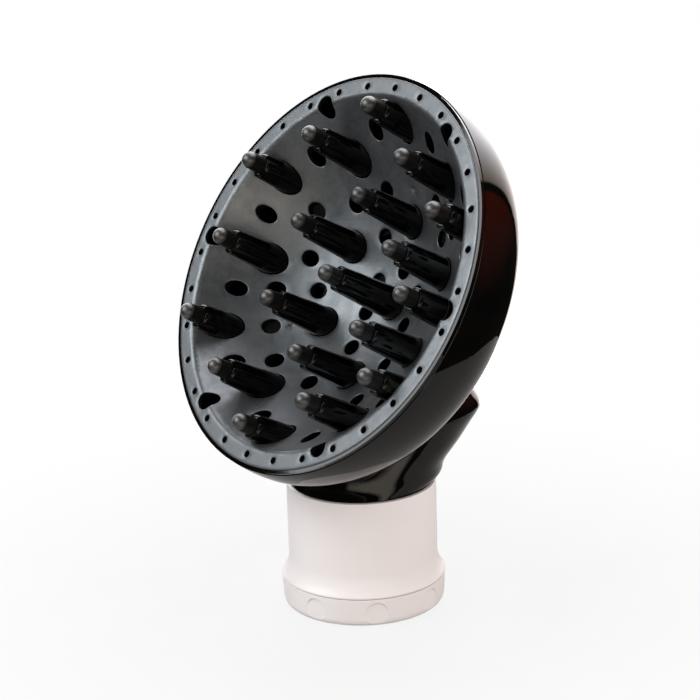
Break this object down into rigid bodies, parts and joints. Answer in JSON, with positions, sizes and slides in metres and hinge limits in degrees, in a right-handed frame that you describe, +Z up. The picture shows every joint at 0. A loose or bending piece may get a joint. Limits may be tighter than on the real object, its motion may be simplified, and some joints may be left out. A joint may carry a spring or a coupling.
{
  "type": "hair dryer diffuser",
  "caption": "Hair dryer diffuser with a fingered perforated bowl on a bent neck, and a collar whose twist ring drives clamp jaws onto the dryer's nozzle.",
  "frame": {"origin": "centre of the collar's mouth, on the plane it stands on", "axes": "+Z up the collar's axis, the bowl faces -Y and 30 degrees up, +X to its side"},
  "size_m": [0.162, 0.1125, 0.2069],
  "materials": {
    "gloss_black": "gloss",
    "grained_grey": "fine grain",
    "finger_black": "gloss",
    "tip_grey": "satin",
    "warm_white": "satin",
    "inner_white": "satin",
    "pad_rubber": "matte",
    "screw_steel": "zinc plated"
  },
  "bodies": {
    "diffuser_body": {"bowl_shell": "gloss_black", "finger_plate": "grained_grey", "finger_web": "gloss_black", "finger_centre": "finger_black", "finger_inner_1": "finger_black", "finger_inner_2": "finger_black", "finger_inner_3": "finger_black", "finger_inner_4": "finger_black", "finger_inner_5": "finger_black", "finger_inner_6": "finger_black", "finger_outer_1": "finger_black", "finger_outer_2": "finger_black", "finger_outer_3": "finger_black", "finger_outer_4": "finger_black", "finger_outer_5": "finger_black", "finger_outer_6": "finger_black", "finger_outer_7": "finger_black", "finger_outer_8": "finger_black", "finger_outer_9": "finger_black", "finger_outer_10": "finger_black", "finger_outer_11": "finger_black", "finger_outer_12": "finger_black", "finger_tip_centre": "tip_grey", "finger_tip_inner_1": "tip_grey", "finger_tip_inner_2": "tip_grey", "finger_tip_inner_3": "tip_grey", "finger_tip_inner_4": "tip_grey", "finger_tip_inner_5": "tip_grey", "finger_tip_inner_6": "tip_grey", "finger_tip_outer_1": "tip_grey", "finger_tip_outer_2": "tip_grey", "finger_tip_outer_3": "tip_grey", "finger_tip_outer_4": "tip_grey", "finger_tip_outer_5": "tip_grey", "finger_tip_outer_6": "tip_grey", "finger_tip_outer_7": "tip_grey", "finger_tip_outer_8": "tip_grey", "finger_tip_outer_9": "tip_grey", "finger_tip_outer_10": "tip_grey", "finger_tip_outer_11": "tip_grey", "finger_tip_outer_12": "tip_grey", "plate_screws": "screw_steel", "collar_sleeve": "warm_white", "jaw_guide": "inner_white", "guide_screws": "screw_steel"},
    "twist_ring": {"grip_ring": "warm_white", "retaining_ring": "screw_steel"},
    "jaw_body_1": {"jaw_1": "inner_white", "jaw_pad_1": "pad_rubber"},
    "jaw_body_2": {"jaw_2": "inner_white", "jaw_pad_2": "pad_rubber"},
    "jaw_body_3": {"jaw_3": "inner_white", "jaw_pad_3": "pad_rubber"},
    "jaw_body_4": {"jaw_4": "inner_white", "jaw_pad_4": "pad_rubber"},
    "jaw_body_5": {"jaw_5": "inner_white", "jaw_pad_5": "pad_rubber"},
    "jaw_body_6": {"jaw_6": "inner_white", "jaw_pad_6": "pad_rubber"}
  },
  "joints": [
    {"name": "ring_turn", "type": "hinge", "parent": "diffuser_body", "child": "twist_ring", "pos_m": [0, 0, 0.005], "axis": [0, 0, 1], "range_deg": [0, 40]},
    {"name": "jaw_1_slide", "type": "slide", "parent": "diffuser_body", "child": "jaw_body_1", "axis": [-1, 0, 0], "range_m": [0, 0.003]},
    {"name": "jaw_2_slide", "type": "slide", "parent": "diffuser_body", "child": "jaw_body_2", "axis": [-0.5, -0.866, 0], "range_m": [0, 0.003]},
    {"name": "jaw_3_slide", "type": "slide", "parent": "diffuser_body", "child": "jaw_body_3", "axis": [0.5, -0.866, 0], "range_m": [0, 0.003]},
    {"name": "jaw_4_slide", "type": "slide", "parent": "diffuser_body", "child": "jaw_body_4", "axis": [1, 0, 0], "range_m": [0, 0.003]},
    {"name": "jaw_5_slide", "type": "slide", "parent": "diffuser_body", "child": "jaw_body_5", "axis": [0.5, 0.866, 0], "range_m": [0, 0.003]},
    {"name": "jaw_6_slide", "type": "slide", "parent": "diffuser_body", "child": "jaw_body_6", "axis": [-0.5, 0.866, 0], "range_m": [0, 0.003]}
  ],
  "couplings": [
    {"joint": "jaw_1_slide", "follows": "ring_turn", "m_per_rad": 0.0042972},
    {"joint": "jaw_2_slide", "follows": "ring_turn", "m_per_rad": 0.0042972},
    {"joint": "jaw_3_slide", "follows": "ring_turn", "m_per_rad": 0.0042972},
    {"joint": "jaw_4_slide", "follows": "ring_turn", "m_per_rad": 0.0042972},
    {"joint": "jaw_5_slide", "follows": "ring_turn", "m_per_rad": 0.0042972},
    {"joint": "jaw_6_slide", "follows": "ring_turn", "m_per_rad": 0.0042972}
  ]
}
